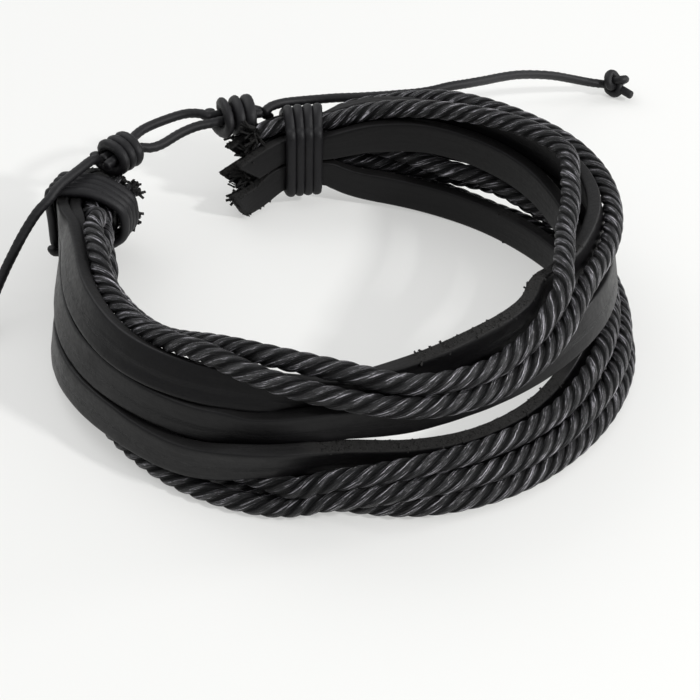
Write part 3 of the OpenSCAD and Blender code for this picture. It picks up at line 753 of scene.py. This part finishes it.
def waxed_fibre():
    """Long hemp fibre drawn through black wax: thin bright streaks along each ply, partly the fibres' own
    pale tone and partly a painted highlight, with painted shade in the grooves between plies.
    """
    made, tree, shader = new_material("waxed_hemp_rope")
    fibre = add(tree, "ShaderNodeAttribute", attribute_name="fibre").outputs["Vector"]
    drawn = add(tree, "ShaderNodeVectorMath", {0: fibre, 1: (1, 1, 0.12)}, operation="MULTIPLY").outputs[0]
    streak = add(tree, "ShaderNodeTexNoise", {
        "Vector": drawn, "Scale": 3.8, "Detail": 4, "Roughness": 0.7}).outputs[0]
    # The pale end of this ramp is partly the fibres' own tone and partly a painted highlight: bright glints
    # in the colour whatever the lamps do.
    tone = add(tree, "ShaderNodeValToRGB", {0: streak})
    tone.color_ramp.elements[0].position = 0.46
    tone.color_ramp.elements[0].color = ink("#0c0c0e")
    tone.color_ramp.elements[1].position = 0.66
    tone.color_ramp.elements[1].color = ink("#c4c1c9")
    middle = tone.color_ramp.elements.new(0.56)
    middle.color = ink("#19181b")
    # Grooves between plies are coloured near black: painted shade where the plies shade each other, with
    # wax gathered there.
    crest = add(tree, "ShaderNodeAttribute", attribute_name="crest").outputs["Fac"]
    proud = add(tree, "ShaderNodeMapRange", {
        "Value": crest, "From Min": 0.55, "From Max": 1.0},
        interpolation_type="SMOOTHSTEP").outputs["Result"]
    colour = add(tree, "ShaderNodeMix", {
        0: proud, 6: ink("#080809"), 7: tone.outputs["Color"]}, data_type="RGBA").outputs[2]
    tree.links.new(colour, shader.inputs["Base Color"])
    gloss = add(tree, "ShaderNodeMapRange", {
        "Value": streak, "From Min": 0.4, "From Max": 0.6,
        "To Min": 0.45, "To Max": 0.22}).outputs["Result"]
    dull = add(tree, "ShaderNodeMix", {0: proud, 2: 0.75, 3: gloss}).outputs[0]
    tree.links.new(dull, shader.inputs["Roughness"])
    waxed = add(tree, "ShaderNodeMapRange", {
        "Value": streak, "From Min": 0.48, "From Max": 0.64,
        "To Min": 0.4, "To Max": 1.1}).outputs["Result"]
    share = add(tree, "ShaderNodeMapRange", {
        "Value": proud, "To Min": 0.4, "To Max": 1.0}).outputs["Result"]
    shine = add(tree, "ShaderNodeMath", {0: waxed, 1: share}, operation="MULTIPLY").outputs[0]
    tree.links.new(shine, shader.inputs["Specular IOR Level"])
    relief = add(tree, "ShaderNodeBump", {"Height": streak, "Strength": 1.0, "Distance": 0.3 * MM})
    tree.links.new(relief.outputs["Normal"], shader.inputs["Normal"])
    return made


rope_finish = waxed_fibre()
lay = laid_rope()
rope_tables = {
    "rope_top": rope_top_rows, "rope_second": rope_second_rows, "rope_third": rope_third_rows,
    "rope_fourth": rope_fourth_rows, "rope_bottom": rope_bottom_rows}
for name, rows in rope_tables.items():
    path = even_rows(rows, ROPE_STEP)
    line = bpy.data.meshes.new(name + "_laid")
    line.from_pydata([place(r) * MM for r in path], [(i, i + 1) for i in range(len(path) - 1)], [])
    size = line.attributes.new("size", "FLOAT", "POINT")
    size.data.foreach_set("value", [share_at(r[ANGLE]) for r in path])
    rope = bpy.data.objects.new(name + "_laid", line)
    bpy.context.collection.objects.link(rope)
    modified(rope, lay, Finish=rope_finish)
    settled(rope)
    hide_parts(name)
    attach(rope, "root")

# Trimmed ends of the five ropes, which have opened into loose waxed fibres beside each binding.
# The fibres grow from a small disc on each end, and are drawn coarser than real ones to show.
DISC_R = 0.95
DISC_SIDES = 12
ends = []
for rows in rope_tables.values():
    path = even_rows(rows, ROPE_STEP)
    for tip, before in ((path[0], path[2]), (path[-1], path[-3])):
        ends.append((place(tip), (place(tip) - place(before)).normalized()))
for where, some, fibre_length in (("left", ends[0::2], 0.55), ("right", ends[1::2], 1.3)):
    corners, faces = [], []
    for spot, ahead in some:
        side = ahead.cross(Vector((0, 0, 1))).normalized()
        rise = side.cross(ahead)
        faces.append([len(corners) + k for k in range(DISC_SIDES)])
        for k in range(DISC_SIDES):
            turn = 2 * math.pi * k / DISC_SIDES
            corners.append(spot + DISC_R * (math.cos(turn) * side - math.sin(turn) * rise))
    tuft = finished("rope_ends_frayed_" + where, corners, faces, smooth=False)
    opened = tuft.data.attributes.new("hide", "FLOAT_VECTOR", "POINT")
    opened.data.foreach_set("vector", [0, 0, 1] * len(corners))
    modified(tuft, fray, Per_mm2=40.0, Fibre_length=fibre_length * MM, Fibre_width=0.15 * MM,
             Seed=5, Finish=hide_finish)
    settled(tuft)
    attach(tuft, "root")

# The floor is a plain pale sheet, and the light is a soft studio one: a bright pale room with
# a large lamp behind and above. Two small lamps at the right draw the glints on wax and hide.
FLOOR_HALF = 1500
floor_corners = [(x * FLOOR_HALF, y * FLOOR_HALF, 0) for x, y in ((-1, -1), (1, -1), (1, 1), (-1, 1))]
floor = finished("table_top", floor_corners, [(0, 1, 2, 3)], smooth=False)
paper, _, paper_shader = new_material("matt_paper")
paper_shader.inputs["Base Color"].default_value = ink("#adadab")
paper_shader.inputs["Emission Color"].default_value = ink("#f6f6f4")
paper_shader.inputs["Emission Strength"].default_value = 0.44
paper_shader.inputs["Roughness"].default_value = 0.8
floor.data.materials.append(paper)
room = bpy.data.worlds.new("room")
room.use_nodes = True
room.node_tree.nodes["Background"].inputs["Color"].default_value = ink("#f4f5f7")
heading = add(room.node_tree, "ShaderNodeTexCoord").outputs["Generated"]
lit = add(room.node_tree, "ShaderNodeSeparateXYZ", {0: heading}).outputs["Z"]
glow = add(room.node_tree, "ShaderNodeMapRange", {
    "Value": lit, "From Min": -0.2, "From Max": 0.8, "To Min": 0.15, "To Max": 0.95})
room.node_tree.links.new(glow.outputs["Result"], room.node_tree.nodes["Background"].inputs["Strength"])
bpy.context.scene.world = room
for name, spot, wide, watts in (
        ("window_lamp", (-350, 450, 520), 500, 1.3), ("side_lamp", (420, -260, 330), 44, 2.3),
        ("low_lamp", (500, 150, 160), 110, 0.75)):
    lamp = bpy.data.objects.new(name, bpy.data.lights.new(name, "AREA"))
    lamp.data.size = wide * MM
    lamp.data.energy = watts
    lamp.location = Vector(spot) * MM
    lamp.rotation_euler = (-Vector(spot)).to_track_quat("-Z", "Y").to_euler()
    bpy.context.collection.objects.link(lamp)
